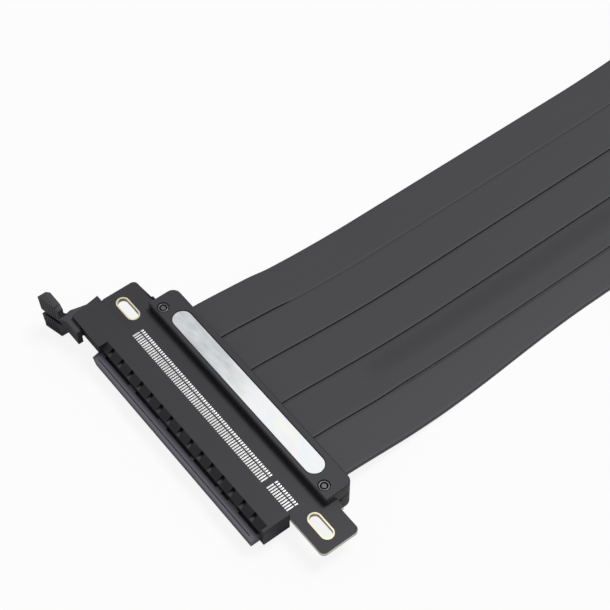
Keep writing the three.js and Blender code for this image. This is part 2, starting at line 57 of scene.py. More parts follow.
Colour = tuple[float, float, float]
Edge = tuple[float, float]


class Body(Enum):
    """The bodies that pieces ride on."""

    RISER = "riser"
    LATCH = "latch"


class Axis(Enum):
    """The axes of the part's frame."""

    X = 0
    Y = 1
    Z = 2


# Shader sums


class Number:
    """A number socket that takes part in Python sums."""

    def __init__(self, tree: "Tree", socket: bpy.types.NodeSocket) -> None:
        """Keeps the socket and the tree that new Math nodes go to."""
        self.tree = tree
        self.socket = socket

    def __add__(self, other: "Number | float") -> "Number":
        """Returns the sum."""
        return self.tree.sum("ADD", self, other)

    def __radd__(self, other: float) -> "Number":
        """Returns the sum."""
        return self.tree.sum("ADD", other, self)

    def __sub__(self, other: "Number | float") -> "Number":
        """Returns the difference."""
        return self.tree.sum("SUBTRACT", self, other)

    def __rsub__(self, other: float) -> "Number":
        """Returns the difference, the other way round."""
        return self.tree.sum("SUBTRACT", other, self)

    def __mul__(self, other: "Number | float") -> "Number":
        """Returns the product."""
        return self.tree.sum("MULTIPLY", self, other)

    def __rmul__(self, other: float) -> "Number":
        """Returns the product."""
        return self.tree.sum("MULTIPLY", other, self)

    def size(self) -> "Number":
        """Returns the value without its sign."""
        return self.tree.sum("ABSOLUTE", self)

    def wave(self) -> "Number":
        """Returns the sine."""
        return self.tree.sum("SINE", self)

    def part(self) -> "Number":
        """Returns what is left above the next lower whole number."""
        return self.tree.sum("FRACT", self)

    def rise(self, low: float, high: float) -> "Number":
        """Returns 0 below low and 1 above high, with a smooth rise between."""
        settings = {"interpolation_type": "SMOOTHSTEP"}
        return self.tree.node("ShaderNodeMapRange", settings, {0: self, 1: low, 2: high})

    def fall(self, low: float, high: float) -> "Number":
        """Returns 1 below low and 0 above high, with a smooth fall between."""
        return 1 - self.rise(low, high)


class Tree:
    """The nodes of one material."""

    def __init__(self, name: str) -> None:
        """Starts a material with no nodes."""
        self.material = bpy.data.materials.new(name)
        self.material.use_nodes = True
        self.graph = self.material.node_tree
        self.graph.nodes.clear()

    def node(self, kind: str, settings: dict[str, object] | None = None,
             sockets: dict[int | str, object] | None = None, out: int | str = 0) -> Number:
        """Adds a node of any kind.

        Args:
            kind: the node's type.
            settings: its own settings, which are set first; a ramp's stops are (place, colour).
            sockets: values or links of its inputs, by number or name.
            out: the output that is given back.

        Returns:
            The chosen output.
        """
        made = self.graph.nodes.new(kind)
        for name, value in (settings or {}).items():
            if name == "stops":
                self._stops(made, value)
            else:
                setattr(made, name, value)
        for name, value in (sockets or {}).items():
            if isinstance(value, Number):
                self.graph.links.new(value.socket, made.inputs[name])
            else:
                made.inputs[name].default_value = value
        return Number(self, made.outputs[out])

    @staticmethod
    def _stops(made: bpy.types.Node, stops: Sequence[tuple[float, Colour]]) -> None:
        """Sets the stops of a colour ramp.

        Args:
            made: the ramp's node.
            stops: the place and colour of each stop, in order.
        """
        elements = made.color_ramp.elements
        while len(elements) < len(stops):
            elements.new(1.0)
        for element, (place, colour) in zip(elements, stops):
            element.position = place
            element.color = (*colour, 1.0)

    def sum(self, operation: str, *values: Number | float) -> Number:
        """Returns the result of one Math node, whose inputs are the values in order."""
        return self.node("ShaderNodeMath", {"operation": operation}, dict(enumerate(values)))

    def place(self) -> Number:
        """Returns the piece's own coordinates, in metres."""
        return self.node("ShaderNodeTexCoord", out="Object")

    def stretched(self, scale: Point) -> Number:
        """Returns the piece's own coordinates, each times its own scale."""
        return self.node("ShaderNodeMapping", None, {"Vector": self.place(), "Scale": scale})

    def along(self, axis: Axis) -> Number:
        """Returns one of the piece's own coordinates, in metres."""
        return self.node("ShaderNodeSeparateXYZ", None, {0: self.place()}, out=axis.value)

    def noise(self, scale: float, detail: float = 2.0, at: Number | None = None) -> Number:
        """Returns a noise from 0 to 1, with features of about 1 / scale metres."""
        sockets = {"Vector": at or self.place(), "Scale": scale, "Detail": detail}
        return self.node("ShaderNodeTexNoise", None, sockets)

    def over(self, factor: Number, below: Number | Colour, above: Number | Colour) -> Number:
        """Mixes two colours.

        Args:
            factor: the upper colour's share.
            below: the colour where factor is 0.
            above: the colour where factor is 1.

        Returns:
            The mix.
        """
        low, high = (c if isinstance(c, Number) else (*c, 1.0) for c in (below, above))
        sockets = {0: factor, 6: low, 7: high}
        return self.node("ShaderNodeMix", {"data_type": "RGBA"}, sockets, out=2)

    def toned(self, tone: Number, colour: Colour, low: float, high: float) -> Number:
        """Returns a colour from low times as bright, where tone is 0, to high times."""
        return self.over(tone, shade(colour, low), shade(colour, high))

    def bump(self, height: Number, distance: float) -> Number:
        """Returns a normal from a height of 0 to 1 that stands for a distance in metres."""
        sockets = {"Height": height, "Distance": distance, "Strength": 1.0}
        return self.node("ShaderNodeBump", None, sockets)

    def finish(self, **sockets: object) -> bpy.types.Material:
        """Ends the tree in a Principled shader.

        Args:
            sockets: the shader's inputs, with an underscore for each space.

        Returns:
            The material.
        """
        named = {name.replace("_", " "): value for name, value in sockets.items()}
        return self.surface(self.node("ShaderNodeBsdfPrincipled", None, named))

    def surface(self, shader: Number) -> bpy.types.Material:
        """Links a shader to the material's output and returns the material."""
        made = self.graph.nodes.new("ShaderNodeOutputMaterial")
        self.graph.links.new(shader.socket, made.inputs["Surface"])
        return self.material


def shade(colour: Colour, share: float) -> Colour:
    """Returns a colour made lighter or darker by a factor."""
    return tuple(min(1.0, c * share) for c in colour)


def srgb(code: int) -> Colour:
    """Returns the linear colour of a 24-bit screen colour."""
    parts = [(code >> shift & 255) / 255 for shift in (16, 8, 0)]
    return tuple(c / 12.92 if c <= 0.04045 else ((c + 0.055) / 1.055) ** 2.4 for c in parts)


def from_line(line: float, edge: Edge) -> Edge:
    """Returns the two places of a soft edge that is given by its distances from a line."""
    return line + edge[0], line + edge[1]


# Finishes


@dataclass(frozen=True)
class MouldedPlastic:
    """Black plastic with the fine grain of a spark-eroded mould."""

    name: str
    colour: Colour
    roughness: float = 0.5
    grain: float = 2600.0
    depth: float = 0.012 * MM

    def make(self) -> bpy.types.Material:
        """Makes the material.

        Returns:
            The material.
        """
        tree = Tree(self.name)
        grain = tree.noise(self.grain)
        tone = tree.noise(90.0, 3.0) * 0.6 + grain * 0.4
        colour = tree.toned(tone, self.colour, 0.84, 1.16)
        rough = tree.noise(260.0, 3.0) * 0.12 + (self.roughness - 0.06)
        colour, rough = self.painted_light_and_shade(tree, colour, rough)
        return tree.finish(Base_Color=colour, Roughness=rough, Normal=tree.bump(grain, self.depth),
                           Specular_IOR_Level=0.42)

    def painted_light_and_shade(self, tree: Tree, colour: Number, rough: Number) -> tuple[Number, Number]:
        """Adds painted light and shade, of which this plastic has none.

        Args:
            tree: the material's nodes.
            colour: the plain colour.
            rough: the plain roughness.

        Returns:
            The colour and the roughness with the painted light and shade.
        """
        return colour, rough


@dataclass(frozen=True)
class LippedPlastic(MouldedPlastic):
    """The same plastic on the slot, with painted shade on its sloped upper lip and on the brow
    above its lower ledge, and a painted highlight on that ledge, which is also smoother.
    """

    front: float = 0.0
    top: float = 1.0
    slope_deep: float = 2.4 * MM
    slope_drop: float = 2.0 * MM
    ledge_below: float = 4.4 * MM
    slope_rim: Edge = (-0.22 * MM, -0.08 * MM)
    slope_foot: Edge = (0.02 * MM, 0.14 * MM)
    slope_front: Edge = (0.02 * MM, 0.1 * MM)
    ledge_front: Edge = (-0.12 * MM, -0.04 * MM)
    brow_front: Edge = (-1.1 * MM, -1.0 * MM)
    brow_rim: Edge = (-0.3 * MM, -0.12 * MM)
    above: Edge = (0.0, 0.1 * MM)
    below: Edge = (-0.1 * MM, 0.0)

    def painted_light_and_shade(self, tree: Tree, colour: Number, rough: Number) -> tuple[Number, Number]:
        """Adds painted shade on the sloped lip and the brow, and a painted highlight on the ledge,
        which is also made smoother.

        Args:
            tree: the material's nodes.
            colour: the plain colour.
            rough: the plain roughness.

        Returns:
            The colour and the roughness with the painted light and shade.
        """
        height = tree.along(Axis.Z)
        depth = tree.along(Axis.Y)
        foot = self.top - self.slope_drop
        rear = self.front + self.slope_deep
        shelf = self.top - self.ledge_below
        slope = (height.fall(*from_line(self.top, self.slope_rim))
                 * height.rise(*from_line(foot, self.slope_foot))
                 * depth.rise(*from_line(self.front, self.slope_front))
                 * depth.fall(*from_line(rear, self.above)))
        ledge = (depth.fall(*from_line(self.front, self.ledge_front))
                 * height.fall(*from_line(shelf, self.below)))
        brow = (depth.fall(*from_line(self.front, self.brow_front))
                * height.rise(*from_line(shelf, self.above))
                * height.fall(*from_line(self.top, self.brow_rim)))
        # painted shade on the brow between the ledge and the top
        colour = tree.over(brow * 0.85, colour, shade(self.colour, 0.1))
        # painted shade in the recessed cells of the sloped lip
        colour = tree.over(slope * 0.6, colour, shade(self.colour, 0.25))
        # painted highlight on the ledge, which is also made smoother
        return tree.over(ledge, colour, shade(self.colour, 5.2)), rough - ledge * 0.1


@dataclass(frozen=True)
class GripPlastic(MouldedPlastic):
    """The same plastic on the latch, with painted shade in its narrow slit and its grip grooves."""

    middle: float = 0.0
    front: float = 0.0
    neck: float = 0.0
    tip: float = 0.0
    groove_pitch: float = 1.0 * MM
    groove_first: float = 1.2 * MM
    groove_count: int = 7
    slit_side: Edge = (0.89 * MM, 0.99 * MM)
    slit_end: Edge = (0.0, 0.3 * MM)
    groove_side: Edge = (0.1, 0.3)
    groove_end: Edge = (-0.1, 0.1)
    face_rear: Edge = (2.3 * MM, 2.6 * MM)

    def painted_light_and_shade(self, tree: Tree, colour: Number, rough: Number) -> tuple[Number, Number]:
        """Adds painted shade in the slit and the grooves.

        Args:
            tree: the material's nodes.
            colour: the plain colour.
            rough: the plain roughness.

        Returns:
            The colour and the roughness with the painted shade.
        """
        beside = (tree.along(Axis.Z) - self.middle).size()
        along = tree.along(Axis.X)
        slit = beside.fall(*self.slit_side) * along.fall(*from_line(self.neck, self.slit_end))
        turns = (along - (self.tip + self.groove_first)) * (1 / self.groove_pitch) + 0.5
        groove = (turns.part() - 0.5).size().fall(*self.groove_side)
        ridged = turns.rise(*self.groove_end) * turns.fall(
            *from_line(self.groove_count, self.groove_end))
        face = tree.along(Axis.Y).fall(*from_line(self.front, self.face_rear))
        # painted shade in the grip grooves on the front face
        colour = tree.over(groove * ridged * face * 0.7, colour, shade(self.colour, 0.2))
        # painted shade in the narrow slit
        return tree.over(slit * 0.92, colour, shade(self.colour, 0.12)), rough


@dataclass(frozen=True)
class SolderMask:
    """Satin black lacquer over copper, with the glass weave just showing through."""

    name: str
    colour: Colour
    weave: float = 0.55 * MM

    def make(self) -> bpy.types.Material:
        """Makes the material.

        Returns:
            The material.
        """
        tree = Tree(self.name)
        turns = 2 * math.pi / self.weave
        across = (tree.along(Axis.X) * turns).wave()
        along = (tree.along(Axis.Y) * turns).wave()
        weave = across * along * 0.5 + 0.5
        cloud = tree.noise(70.0, 4.0)
        speckle = tree.noise(3200.0)
        colour = tree.toned(cloud * 0.75 + weave * 0.25, self.colour, 0.86, 1.14)
        rough = cloud * 0.1 + speckle * 0.06 + 0.34
        return tree.finish(Base_Color=colour, Roughness=rough,
                           Normal=tree.bump(weave * 0.6 + speckle * 0.4, 0.004 * MM),
                           Specular_IOR_Level=0.45)


@dataclass(frozen=True)
class GlassFibreEdge:
    """A cut board edge: pale glass fibre with its thin copper layers."""

    name: str
    top: float
    thick: float
    colour: Colour = srgb(0xFBF7EA)
    copper: Colour = srgb(0x8B6F3C)
    layers: int = 4
    layer_edge: Edge = (0.78, 0.9)

    def make(self) -> bpy.types.Material:
        """Makes the material.

        Returns:
            The material.
        """
        tree = Tree(self.name)
        depth = (self.top - tree.along(Axis.Z)) * (self.layers / self.thick)
        layer = depth.part().rise(*self.layer_edge)
        fibres = tree.noise(1.0, 3.0, tree.stretched((900.0, 900.0, 5200.0)))
        colour = tree.over(layer * 0.28, tree.toned(fibres, self.colour, 0.78, 1.1), self.copper)
        return tree.finish(Base_Color=colour, Roughness=fibres * 0.2 + 0.55,
                           Normal=tree.bump(fibres, 0.02 * MM))


@dataclass(frozen=True)
class Plating:
    """A thin bright metal layer with a slightly uneven surface."""

    name: str
    colour: Colour
    roughness: float
    metallic: float = 1.0
    waves: float = 900.0
    depth: float = 0.01 * MM

    def make(self) -> bpy.types.Material:
        """Makes the material.

        Returns:
            The material.
        """
        tree = Tree(self.name)
        stain = tree.noise(180.0, 4.0)
        colour = tree.toned(stain, self.colour, 0.86, 1.06)
        return tree.finish(Base_Color=colour, Roughness=stain * 0.16 + (self.roughness - 0.08),
                           Metallic=self.metallic,
                           Normal=tree.bump(tree.noise(self.waves), self.depth))


@dataclass(frozen=True)
class PearlFoil:
    """A bare label: silvery and creased, with painted reflections on its creases, and white and
    pearly at one end under a painted highlight.
    """

    name: str
    middle: float
    blend: Edge = (-14.0 * MM, 14.0 * MM)
    waver: float = 12.0 * MM
    pearly_highlight: tuple[tuple[float, Colour], ...] = (
        (0.3, srgb(0xE4EDEA)), (0.45, srgb(0xF8F5F6)), (0.56, srgb(0xF1F6FA)),
        (0.7, srgb(0xFAF8F0)))
    silver_and_reflections: tuple[Colour, Colour] = (srgb(0xA4A8AE), srgb(0xF0F2F4))

    def make(self) -> bpy.types.Material:
        """Makes the material.

        Returns:
            The material.
        """
        tree = Tree(self.name)
        broad = tree.noise(1.0, 2.0, tree.stretched((55.0, 210.0, 55.0)))
        crease_and_reflection = tree.noise(1.0, 3.0, tree.stretched((150.0, 420.0, 150.0)))
        fine = tree.noise(1500.0)
        pearly_highlight = tree.node("ShaderNodeValToRGB", {"stops": self.pearly_highlight}, {0: broad})
        # painted highlight: the end towards +X turns white and pearly
        place = tree.along(Axis.X) + broad * self.waver
        white = place.rise(*from_line(self.middle, self.blend))
        # painted reflections: the creases move the silver between dark and pale
        colour = tree.over(white, tree.over(crease_and_reflection, *self.silver_and_reflections), pearly_highlight)
        height = broad * 0.7 + crease_and_reflection * 0.26 + fine * 0.04
        return tree.finish(Base_Color=colour, Roughness=fine * 0.1 + 0.24, Metallic=0.1,
                           Normal=tree.bump(height, 0.25 * MM), Coat_Weight=0.5,
                           Coat_Roughness=0.08)


@dataclass(frozen=True)
class CableJacket:
    """The matte jacket of a flat strip, with faint lengthwise draw marks."""

    name: str
    colour: Colour
    outer_side: float
    lifted_side: float
    lifted_from: float
    upright: Edge = (0.35, 0.75)
    outer_edge: Edge = (0.0, 0.4 * MM)
    lifted_edge: Edge = (-2.5 * MM, -2.4 * MM)
    lifted_start: Edge = (0.0, 16.0 * MM)

    def make(self) -> bpy.types.Material:
        """Makes the material, with painted shade on the strips' sides between the strips and a
        painted highlight on the cable's outer side.

        Returns:
            The material.
        """
        tree = Tree(self.name)
        drawn = tree.noise(1.0, 4.0, tree.stretched((1400.0, 9.0, 60.0)))
        bands = tree.noise(1.0, 2.0, tree.stretched((130.0, 4.0, 4.0)))
        speck = tree.noise(4200.0)
        colour = tree.toned(bands * 0.5 + drawn * 0.3 + speck * 0.2, self.colour, 0.86, 1.14)
        turned = tree.node("ShaderNodeNewGeometry", out="Normal")
        upright = tree.node("ShaderNodeSeparateXYZ", None, {0: turned}, out=Axis.Z.value)
        steep = upright.size().fall(*self.upright)
        across = tree.along(Axis.X)
        inner = across.fall(*from_line(self.outer_side, self.outer_edge))
        lifted = across.rise(*from_line(self.lifted_side, self.lifted_edge)) * (
            tree.along(Axis.Y).rise(*from_line(self.lifted_from, self.lifted_start)))
        between = inner * (1 - lifted * 0.9)
        # painted shade on the steep sides that face the next strip, less where a strip is lifted
        colour = tree.over(steep * between * 0.92, colour, shade(self.colour, 0.03))
        # painted highlight on the steep outer side of the cable
        colour = tree.over(steep * (1 - inner) * 0.8, colour, shade(self.colour, 3.2))
        return tree.finish(Base_Color=colour, Roughness=drawn * 0.1 + speck * 0.05 + 0.5,
                           Normal=tree.bump(drawn * 0.5 + speck * 0.5, 0.012 * MM),
                           Specular_IOR_Level=0.4)


# Mesh tools


def only(*objects: bpy.types.Object) -> None:
    """Selects these objects and nothing else.

    Args:
        objects: the objects, of which the first becomes the active one.
    """
    bpy.ops.object.select_all(action="DESELECT")
    for item in objects:
        item.select_set(True)
    bpy.context.view_layer.objects.active = objects[0]


def edit(piece: bpy.types.Object, work: Callable[[], None]) -> None:
    """Runs mesh operators on a piece in edit mode.

    Args:
        piece: the piece, all of it selected at first.
        work: calls the operators.
    """
    only(piece)
    bpy.ops.object.mode_set(mode="EDIT")
    bpy.ops.mesh.select_mode(type="FACE")
    bpy.ops.mesh.select_all(action="SELECT")
    work()
    bpy.ops.object.mode_set(mode="OBJECT")


def pick_faces(piece: bpy.types.Object, test: Callable[[Vector, Vector], bool]) -> None:
    """Selects faces from inside edit mode.

    Args:
        piece: the piece in edit mode.
        test: tells from a face's middle and normal whether it is selected.
    """
    bpy.ops.mesh.select_all(action="DESELECT")
    bpy.ops.object.mode_set(mode="OBJECT")
    for face in piece.data.polygons:
        face.select = test(face.center, face.normal)
    bpy.ops.object.mode_set(mode="EDIT")


def apply(piece: bpy.types.Object, kind: str, **settings: object) -> None:
    """Adds a modifier to a piece and applies it.

    Args:
        piece: the piece.
        kind: the modifier's type.
        settings: the modifier's settings.
    """
    only(piece)
    modifier = piece.modifiers.new(kind.lower(), kind)
    for name, value in settings.items():
        setattr(modifier, name, value)
    bpy.ops.object.modifier_apply(modifier=modifier.name)


def settle(piece: bpy.types.Object) -> bpy.types.Object:
    """Puts a piece's place into its mesh, so that its object sits at the origin.

    Args:
        piece: the piece.

    Returns:
        The same piece.
    """
    only(piece)
    bpy.ops.object.transform_apply(location=True, rotation=True, scale=True)
    return piece


def soften(piece: bpy.types.Object, width: float, segments: int = 2) -> None:
    """Rounds a piece's edges and shades it so that its flats stay flat.

    Args:
        piece: the piece.
        width: how far the rounding reaches from each edge.
        segments: steps of the rounding.
    """
    apply(piece, "BEVEL", width=width, segments=segments, limit_method="ANGLE",
          angle_limit=math.radians(24), use_clamp_overlap=True, miter_outer="MITER_ARC")
    only(piece)
    bpy.ops.object.shade_smooth()
    apply(piece, "WEIGHTED_NORMAL", keep_sharp=False, weight=60)


def moulding(node: str, name: str, width: float, segments: int = 2) -> bpy.types.Object:
    """Makes a piece from a CAD node, with its edges rounded.

    Args:
        node: the CAD node that the piece stands for.
        name: the new piece's name.
        width: how far the rounding reaches from each edge.
        segments: steps of the rounding.

    Returns:
        The piece, which replaces the node.
    """
    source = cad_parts[node]
    piece = bpy.data.objects.new(name, source.data.copy())
    bpy.context.scene.collection.objects.link(piece)

    def clean() -> None:
        """Merges the loose triangles into flat faces."""
        bpy.ops.mesh.customdata_custom_splitnormals_clear()
        bpy.ops.mesh.remove_doubles(threshold=0.0005 * MM)
        bpy.ops.mesh.dissolve_limited(angle_limit=math.radians(0.6))

    edit(piece, clean)
    if width > 0:
        soften(piece, width, segments)
    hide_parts(node)
    return piece


def block(name: str, middle: Point, size: Point) -> bpy.types.Object:
    """Makes a box to start a piece from.

    Args:
        name: the piece's name.
        middle: its middle.
        size: its size along each axis.

    Returns:
        The piece.
    """
    bpy.ops.object.select_all(action="DESELECT")
    bpy.ops.mesh.primitive_cube_add(size=1, location=middle)
    piece = bpy.context.object
    piece.name = name
    piece.scale = size
    return settle(piece)


def dress(piece: bpy.types.Object, material: bpy.types.Material,
          body: Body = Body.RISER) -> bpy.types.Object:
    """Gives a piece its looks and its body.

    Args:
        piece: the piece.
        material: its material.
        body: the body that carries it.

    Returns:
        The same piece.
    """
    piece.data.materials.clear()
    piece.data.materials.append(material)
    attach(piece, body.value)
    LOG.info("%s: %d faces", piece.name, len(piece.data.polygons))
    return piece


def join(name: str, pieces: Sequence[bpy.types.Object]) -> bpy.types.Object:
    """Joins pieces into one.

    Args:
        name: the joined piece's name.
        pieces: the pieces.

    Returns:
        The joined piece.
    """
    only(*pieces)
    bpy.ops.object.join()
    pieces[0].name = name
    return pieces[0]


def row_of(piece: bpy.types.Object, count: int, pitch: float) -> None:
    """Repeats a piece along X."""
    apply(piece, "ARRAY", count=count, use_relative_offset=False, use_constant_offset=True,
          constant_offset_displace=(pitch, 0.0, 0.0))


def smooth(share: float) -> float:
    """Returns a share from 0 to 1 that starts and ends softly."""
    share = min(1.0, max(0.0, share))
    return share * share * (3 - 2 * share)


# The object


@dataclass
class Contacts:
    """Places of the contacts, shared by the slot and the far edge connector."""

    pitch: float = 1.0 * MM
    row_end: float = 41.5 * MM
    long_row: int = 71
    short_row: int = 11

    def rows(self, middle: float) -> list[tuple[float, int]]:
        """Finds the long row and the short row.

        Args:
            middle: X of the slot's middle.

        Returns:
            The first place along X and the count of each row.
        """
        short_reach = (self.short_row - 1) * self.pitch
        return [(middle - self.row_end, self.long_row),
                (middle + self.row_end - short_reach, self.short_row)]

    def bars(self, name: str, middle: Point, size: Point, width: float,
             segments: int) -> bpy.types.Object:
        """Makes a small bar at every contact, all as one piece.

        Args:
            name: the piece's name.
            middle: X of the slot's middle, and y and z of each bar's middle.
            size: each bar's size along each axis.
            width: how far the rounding reaches from each edge.
            segments: steps of the rounding.

        Returns:
            The piece.
        """
        rows = []
        for first, count in self.rows(middle[0]):
            bar = block(name, (first, *middle[1:]), size)
            soften(bar, width, segments)
            row_of(bar, count, self.pitch)
            rows.append(bar)
        return join(name, rows)


@dataclass
class Board:
    """A circuit board, lacquered above and below and bare at its cut edges."""

    node: str
    name: str
    mask: SolderMask
    edge_width: float = 0.08 * MM
    edge_tilt: float = 0.5

    def build(self) -> bpy.types.Object:
        """Makes the board.

        Returns:
            The piece.
        """
        low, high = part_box(self.node)
        board = moulding(self.node, self.name, self.edge_width, 1)
        dress(board, self.mask.make())
        edge = GlassFibreEdge(f"{self.node}_edge", high.z, high.z - low.z)
        board.data.materials.append(edge.make())
        for face in board.data.polygons:
            face.material_index = int(abs(face.normal.z) < self.edge_tilt)
        return board


@dataclass
class SlotEnd:
    """The board with the card slot, its latch, contacts and mounting slots."""

    contacts: Contacts = field(default_factory=Contacts)
    dash_front: float = 2.85 * MM
    dash_long: float = 1.25 * MM
    dash_wide: float = 0.6 * MM
    dash_high: float = 0.22 * MM
    dash_edge: float = 0.09 * MM
    contact_edge: float = 0.07 * MM
    housing_edge: float = 0.09 * MM
    latch_edge: float = 0.12 * MM
    rim_edge: float = 0.12 * MM
    ledge_reach: float = 3.4 * MM
    neck_back: float = 9.6 * MM
    housing: LippedPlastic = field(init=False)
    latch: GripPlastic = field(init=False)
    mask: SolderMask = SolderMask("solder_mask", srgb(0x2A292E))
    gold: Plating = Plating("gold_plating", srgb(0xFBF2D2), 0.34, 0.7)
    tin: Plating = Plating("tinned_contacts", srgb(0xFAFAFA), 0.34, 0.45, 1500.0)

    def __post_init__(self) -> None:
        """Reads the places of the board, the housing and the latch from the frame."""
        self.low, self.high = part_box("slot_board")
        self.middle = (self.low.x + self.high.x) / 2
        front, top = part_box("slot_housing")
        self.housing = LippedPlastic("slot_plastic", srgb(0x2A292E),
                                     front=front.y + self.ledge_reach, top=top.z)
        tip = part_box("card_latch")[0]
        self.latch = GripPlastic("latch_plastic", srgb(0x3B3A3F),
                                 middle=(self.low.z + self.high.z) / 2, front=tip.y,
                                 neck=tip.x + self.neck_back, tip=tip.x)

    def build(self) -> None:
        """Makes every piece of the slot end."""
        Board("slot_board", "slot_circuit_board", self.mask).build()
        dress(moulding("slot_housing", "card_slot_housing", self.housing_edge), self.housing.make())
        dress(moulding("card_latch", "card_latch_arm", self.latch_edge), self.latch.make(),
              Body.LATCH)
        gold = self.gold.make()
        for side in ("latch_side", "key_side"):
            rim = moulding(f"mount_rim_{side}", f"plated_rim_{side}", self.rim_edge)
            dress(rim, gold)
        tin = self.tin.make()
        for row in ("upper_contacts_long", "upper_contacts_short", "lower_contacts_long",
                    "lower_contacts_short"):
            dress(moulding(row, f"{row}_tinned", self.contact_edge, 1), tin)
        self.build_dashes("upper_solder_dashes", self.high.z, 1.0, tin)
        self.build_dashes("lower_solder_dashes", self.low.z, -1.0, tin)

    def build_dashes(self, name: str, level: float, up: float, tin: bpy.types.Material) -> None:
        """Makes the short soldered pads behind the contacts.

        Args:
            name: the piece's name.
            level: z of the board's face.
            up: 1 above the board and -1 below it.
            tin: the solder's material.
        """
        middle = (self.middle, self.low.y + SLOT_LINE + self.dash_front + self.dash_long / 2,
                  level + up * self.dash_high / 2)
        size = (self.dash_wide, self.dash_long, self.dash_high)
        dress(self.contacts.bars(name, middle, size, self.dash_edge, 2), tin)


@dataclass
class Clamp:
    """One cable clamp: a top cover and a bottom tray held by two screws."""

    top_node: str
    base_node: str
    screw_nodes: tuple[str, str]
    plastic: MouldedPlastic
    cover_edge: float = 0.3 * MM
    screw_radius: float = 1.8 * MM
    socket_radius: float = 1.3 * MM
    pin_radius: float = 0.88 * MM
    screw_high: float = 1.1 * MM
    socket_deep: float = 0.7 * MM
    pin_share: float = 0.85
    head_edge: float = 0.16 * MM
    shank_share: float = 0.6
    steel: Plating = Plating("screw_steel", srgb(0x6A6A6E), 0.36, 0.7, 1200.0)

    def build(self) -> list[bpy.types.Object]:
        """Makes the covers and the screws.

        Returns:
            The pieces.
        """
        plastic = self.plastic.make()
        pieces = []
        for node in (self.top_node, self.base_node):
            cover = moulding(node, f"{node}_shell", self.cover_edge, 3)
            pieces.append(dress(cover, plastic))
        steel = self.steel.make()
        for node in self.screw_nodes:
            pieces += self.build_screw(node, steel)
        return pieces

    def build_screw(self, node: str, steel: bpy.types.Material) -> list[bpy.types.Object]:
        """Makes one screw.

        Args:
            node: the CAD node that the screw stands for.
            steel: its material.

        Returns:
            The shank and the head.
        """
        low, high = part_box(node)
        x, y = (low.x + high.x) / 2, (low.y + high.y) / 2
        shank = moulding(node, f"{node}_shank", 0.0)
        head = self.screw_head((x, y, high.z), f"{node}_head")
        dress(head, steel)
        dress(shank, steel)

        def trim() -> None:
            """Cuts the shank off inside the head."""
            bpy.ops.mesh.bisect(plane_co=(x, y, high.z - self.screw_high * self.shank_share),
                                plane_no=(0.0, 0.0, 1.0), clear_outer=True, use_fill=True)

        edit(shank, trim)
        return [shank, head]

    def screw_head(self, top: Point, name: str) -> bpy.types.Object:
        """Makes a domed screw head with a round socket and a pin in it.

        Args:
            top: the middle of its top face.
            name: its name.

        Returns:
            The piece.
        """
        x, y, z = top
        bpy.ops.object.select_all(action="DESELECT")
        bpy.ops.mesh.primitive_cylinder_add(vertices=48, radius=self.screw_radius,
                                            depth=self.screw_high,
                                            location=(x, y, z - self.screw_high / 2))
        head = settle(bpy.context.object)
        head.name = name

        def socket() -> None:
            """Sinks the socket and raises the pin."""
            pick_faces(head, lambda middle, normal: normal.z > 0.9)
            bpy.ops.mesh.inset(thickness=self.screw_radius - self.socket_radius)
            bpy.ops.mesh.extrude_region_move(
                TRANSFORM_OT_translate={"value": (0.0, 0.0, -self.socket_deep)})
            bpy.ops.mesh.inset(thickness=self.socket_radius - self.pin_radius)
            bpy.ops.mesh.extrude_region_move(
                TRANSFORM_OT_translate={"value": (0.0, 0.0, self.socket_deep * self.pin_share)})

        edit(head, socket)
        soften(head, self.head_edge, 3)
        return head


